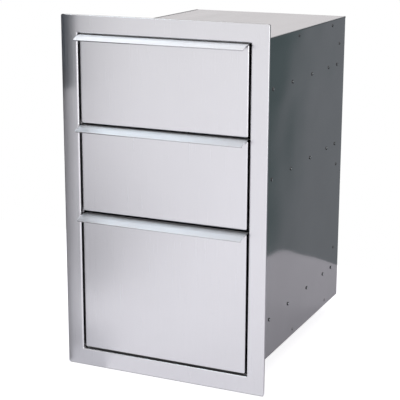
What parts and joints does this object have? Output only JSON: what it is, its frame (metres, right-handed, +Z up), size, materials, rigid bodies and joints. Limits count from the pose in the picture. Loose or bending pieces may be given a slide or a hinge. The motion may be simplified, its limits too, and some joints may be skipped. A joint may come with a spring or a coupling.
{
  "type": "outdoor kitchen drawer unit",
  "caption": "Built-in stainless drawer unit for an outdoor kitchen island: two shallow drawers over a deep one, on telescopic ball slides behind a flat trim frame.",
  "frame": {"origin": "middle of the trim frame's bottom rear lip, in the plane that bears on the front of the island", "axes": "+X to the right as seen from the front, +Y into the island, +Z up"},
  "size_m": [0.432, 0.577, 0.715],
  "materials": {
    "stainless_brushed": "vertically brushed stainless steel sheet",
    "stainless_mill": "smooth bright cold-rolled stainless steel sheet",
    "stainless_inner": "smooth stainless steel sheet inside the drawers",
    "zinc_plated": "bright zinc-plated steel strip",
    "bearing_steel": "polished bearing balls in a plated cage",
    "rubber_black": "matt black rubber"
  },
  "bodies": {
    "cabinet": {"face_frame": "stainless_brushed", "side_panel_left": "stainless_mill", "side_panel_right": "stainless_mill", "top_panel": "stainless_mill", "bottom_panel": "stainless_mill", "back_panel": "stainless_mill", "slide_bottom_left_outer": "zinc_plated", "slide_bottom_left_bumper": "rubber_black", "slide_bottom_right_outer": "zinc_plated", "slide_bottom_right_bumper": "rubber_black", "slide_middle_left_outer": "zinc_plated", "slide_middle_left_bumper": "rubber_black", "slide_middle_right_outer": "zinc_plated", "slide_middle_right_bumper": "rubber_black", "slide_top_left_outer": "zinc_plated", "slide_top_left_bumper": "rubber_black", "slide_top_right_outer": "zinc_plated", "slide_top_right_bumper": "rubber_black"},
    "bottom_drawer": {"drawer_bottom_front": "stainless_brushed", "drawer_bottom_handle": "stainless_brushed", "drawer_bottom_liner": "stainless_inner", "drawer_bottom_box": "stainless_inner", "slide_bottom_left_inner": "zinc_plated", "slide_bottom_right_inner": "zinc_plated"},
    "middle_drawer": {"drawer_middle_front": "stainless_brushed", "drawer_middle_handle": "stainless_brushed", "drawer_middle_liner": "stainless_inner", "drawer_middle_box": "stainless_inner", "slide_middle_left_inner": "zinc_plated", "slide_middle_right_inner": "zinc_plated"},
    "top_drawer": {"drawer_top_front": "stainless_brushed", "drawer_top_handle": "stainless_brushed", "drawer_top_liner": "stainless_inner", "drawer_top_box": "stainless_inner", "slide_top_left_inner": "zinc_plated", "slide_top_right_inner": "zinc_plated"},
    "bottom_middle_members": {"slide_bottom_left_middle": "zinc_plated", "slide_bottom_right_middle": "zinc_plated"},
    "middle_middle_members": {"slide_middle_left_middle": "zinc_plated", "slide_middle_right_middle": "zinc_plated"},
    "top_middle_members": {"slide_top_left_middle": "zinc_plated", "slide_top_right_middle": "zinc_plated"},
    "bottom_outer_cages": {"slide_bottom_left_outer_cage": "bearing_steel", "slide_bottom_right_outer_cage": "bearing_steel"},
    "middle_outer_cages": {"slide_middle_left_outer_cage": "bearing_steel", "slide_middle_right_outer_cage": "bearing_steel"},
    "top_outer_cages": {"slide_top_left_outer_cage": "bearing_steel", "slide_top_right_outer_cage": "bearing_steel"},
    "bottom_inner_cages": {"slide_bottom_left_inner_cage": "bearing_steel", "slide_bottom_right_inner_cage": "bearing_steel"},
    "middle_inner_cages": {"slide_middle_left_inner_cage": "bearing_steel", "slide_middle_right_inner_cage": "bearing_steel"},
    "top_inner_cages": {"slide_top_left_inner_cage": "bearing_steel", "slide_top_right_inner_cage": "bearing_steel"}
  },
  "joints": [
    {"name": "bottom_drawer_slide", "type": "slide", "parent": "cabinet", "child": "bottom_drawer", "axis": [0, -1, 0], "range_m": [0, 0.48]},
    {"name": "bottom_middle_members_slide", "type": "slide", "parent": "cabinet", "child": "bottom_middle_members", "axis": [0, -1, 0], "range_m": [0, 0.24]},
    {"name": "bottom_outer_cages_roll", "type": "slide", "parent": "cabinet", "child": "bottom_outer_cages", "axis": [0, -1, 0], "range_m": [0, 0.12]},
    {"name": "bottom_inner_cages_roll", "type": "slide", "parent": "cabinet", "child": "bottom_inner_cages", "axis": [0, -1, 0], "range_m": [0, 0.36]},
    {"name": "middle_drawer_slide", "type": "slide", "parent": "cabinet", "child": "middle_drawer", "axis": [0, -1, 0], "range_m": [0, 0.48]},
    {"name": "middle_middle_members_slide", "type": "slide", "parent": "cabinet", "child": "middle_middle_members", "axis": [0, -1, 0], "range_m": [0, 0.24]},
    {"name": "middle_outer_cages_roll", "type": "slide", "parent": "cabinet", "child": "middle_outer_cages", "axis": [0, -1, 0], "range_m": [0, 0.12]},
    {"name": "middle_inner_cages_roll", "type": "slide", "parent": "cabinet", "child": "middle_inner_cages", "axis": [0, -1, 0], "range_m": [0, 0.36]},
    {"name": "top_drawer_slide", "type": "slide", "parent": "cabinet", "child": "top_drawer", "axis": [0, -1, 0], "range_m": [0, 0.48]},
    {"name": "top_middle_members_slide", "type": "slide", "parent": "cabinet", "child": "top_middle_members", "axis": [0, -1, 0], "range_m": [0, 0.24]},
    {"name": "top_outer_cages_roll", "type": "slide", "parent": "cabinet", "child": "top_outer_cages", "axis": [0, -1, 0], "range_m": [0, 0.12]},
    {"name": "top_inner_cages_roll", "type": "slide", "parent": "cabinet", "child": "top_inner_cages", "axis": [0, -1, 0], "range_m": [0, 0.36]}
  ],
  "couplings": [
    {"joint": "bottom_middle_members_slide", "follows": "bottom_drawer_slide", "ratio": 0.5},
    {"joint": "bottom_outer_cages_roll", "follows": "bottom_drawer_slide", "ratio": 0.25},
    {"joint": "bottom_inner_cages_roll", "follows": "bottom_drawer_slide", "ratio": 0.75},
    {"joint": "middle_middle_members_slide", "follows": "middle_drawer_slide", "ratio": 0.5},
    {"joint": "middle_outer_cages_roll", "follows": "middle_drawer_slide", "ratio": 0.25},
    {"joint": "middle_inner_cages_roll", "follows": "middle_drawer_slide", "ratio": 0.75},
    {"joint": "top_middle_members_slide", "follows": "top_drawer_slide", "ratio": 0.5},
    {"joint": "top_outer_cages_roll", "follows": "top_drawer_slide", "ratio": 0.25},
    {"joint": "top_inner_cages_roll", "follows": "top_drawer_slide", "ratio": 0.75}
  ]
}
